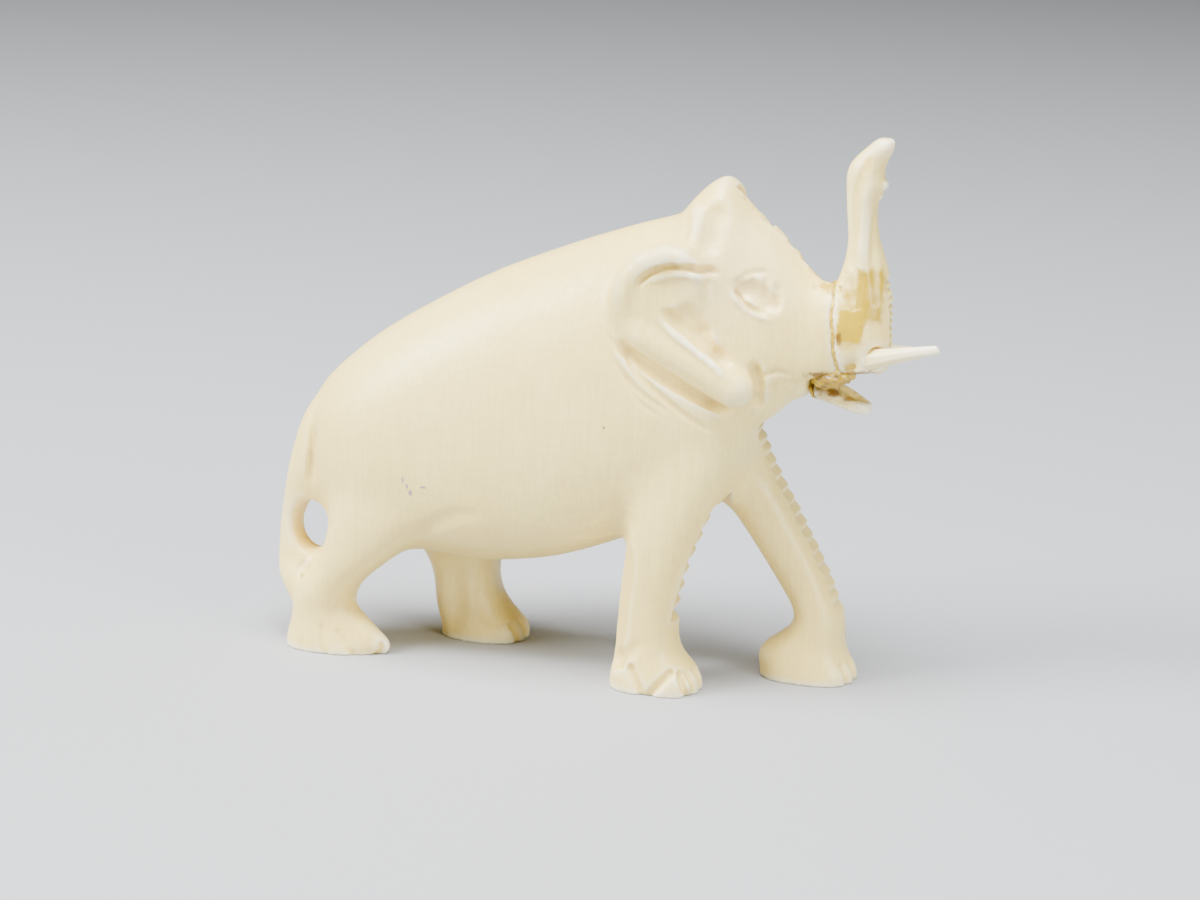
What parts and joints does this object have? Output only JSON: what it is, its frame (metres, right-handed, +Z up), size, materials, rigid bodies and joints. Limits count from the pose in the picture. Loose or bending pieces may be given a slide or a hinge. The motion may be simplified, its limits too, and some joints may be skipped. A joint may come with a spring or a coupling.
{
  "type": "figurine",
  "caption": "Small carved walking elephant figurine with a raised, glued-on trunk, an open mouth and two inset tusks, standing on four flat soles.",
  "frame": {"origin": "on the surface it stands on, under the middle of the whole object's box", "axes": "+X forward, the way the elephant walks and its tusks point; +Y to the elephant's left; +Z up"},
  "size_m": [0.0784, 0.0222, 0.064],
  "materials": {
    "carved_ivory": "pale cream bone or ivory, hand carved and rubbed to a satin, slightly translucent",
    "tusk_ivory": "pale cream, knife-cut facets, satin",
    "amber_glue": "aged clear adhesive, yellowed to amber, semi-gloss"
  },
  "bodies": {
    "root": {"body": "carved_ivory", "trunk": "carved_ivory", "lower_jaw": "carved_ivory", "tusk_right": "tusk_ivory", "tusk_left": "tusk_ivory", "trunk_glue": "amber_glue", "jaw_glue": "amber_glue", "tusk_right_glue": "amber_glue", "tusk_left_glue": "amber_glue"}
  },
  "joints": []
}
